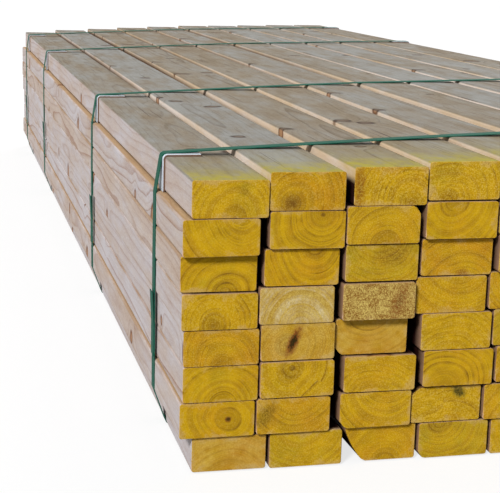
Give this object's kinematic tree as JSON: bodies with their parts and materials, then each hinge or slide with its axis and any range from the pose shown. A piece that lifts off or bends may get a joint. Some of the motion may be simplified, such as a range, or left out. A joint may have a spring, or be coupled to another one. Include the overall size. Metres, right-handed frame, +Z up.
{
  "type": "bundle of pine studs",
  "caption": "Strapped pack of pine studs with painted ends, laid flat in layers, held by flat green straps over angle guards on the upper edges.",
  "frame": {"origin": "on the floor under the middle of the pack", "axes": "+X across the pack, +Y along the studs away from the pictured end, +Z up"},
  "size_m": [0.9646, 2.712, 0.3909],
  "materials": {
    "pine": "dressed",
    "strap": "satin",
    "guard": "satin"
  },
  "bodies": {
    "root": {"layer_1": "pine", "layer_2": "pine", "layer_3": "pine", "layer_4": "pine", "layer_5": "pine", "layer_6": "pine", "layer_7": "pine", "layer_8": "pine", "strap_1": "strap", "strap_2": "strap", "strap_3": "strap", "strap_4": "strap", "guard_left_1": "guard", "guard_left_2": "guard", "guard_left_3": "guard", "guard_left_4": "guard", "guard_right_1": "guard", "guard_right_2": "guard", "guard_right_3": "guard", "guard_right_4": "guard"}
  },
  "joints": []
}
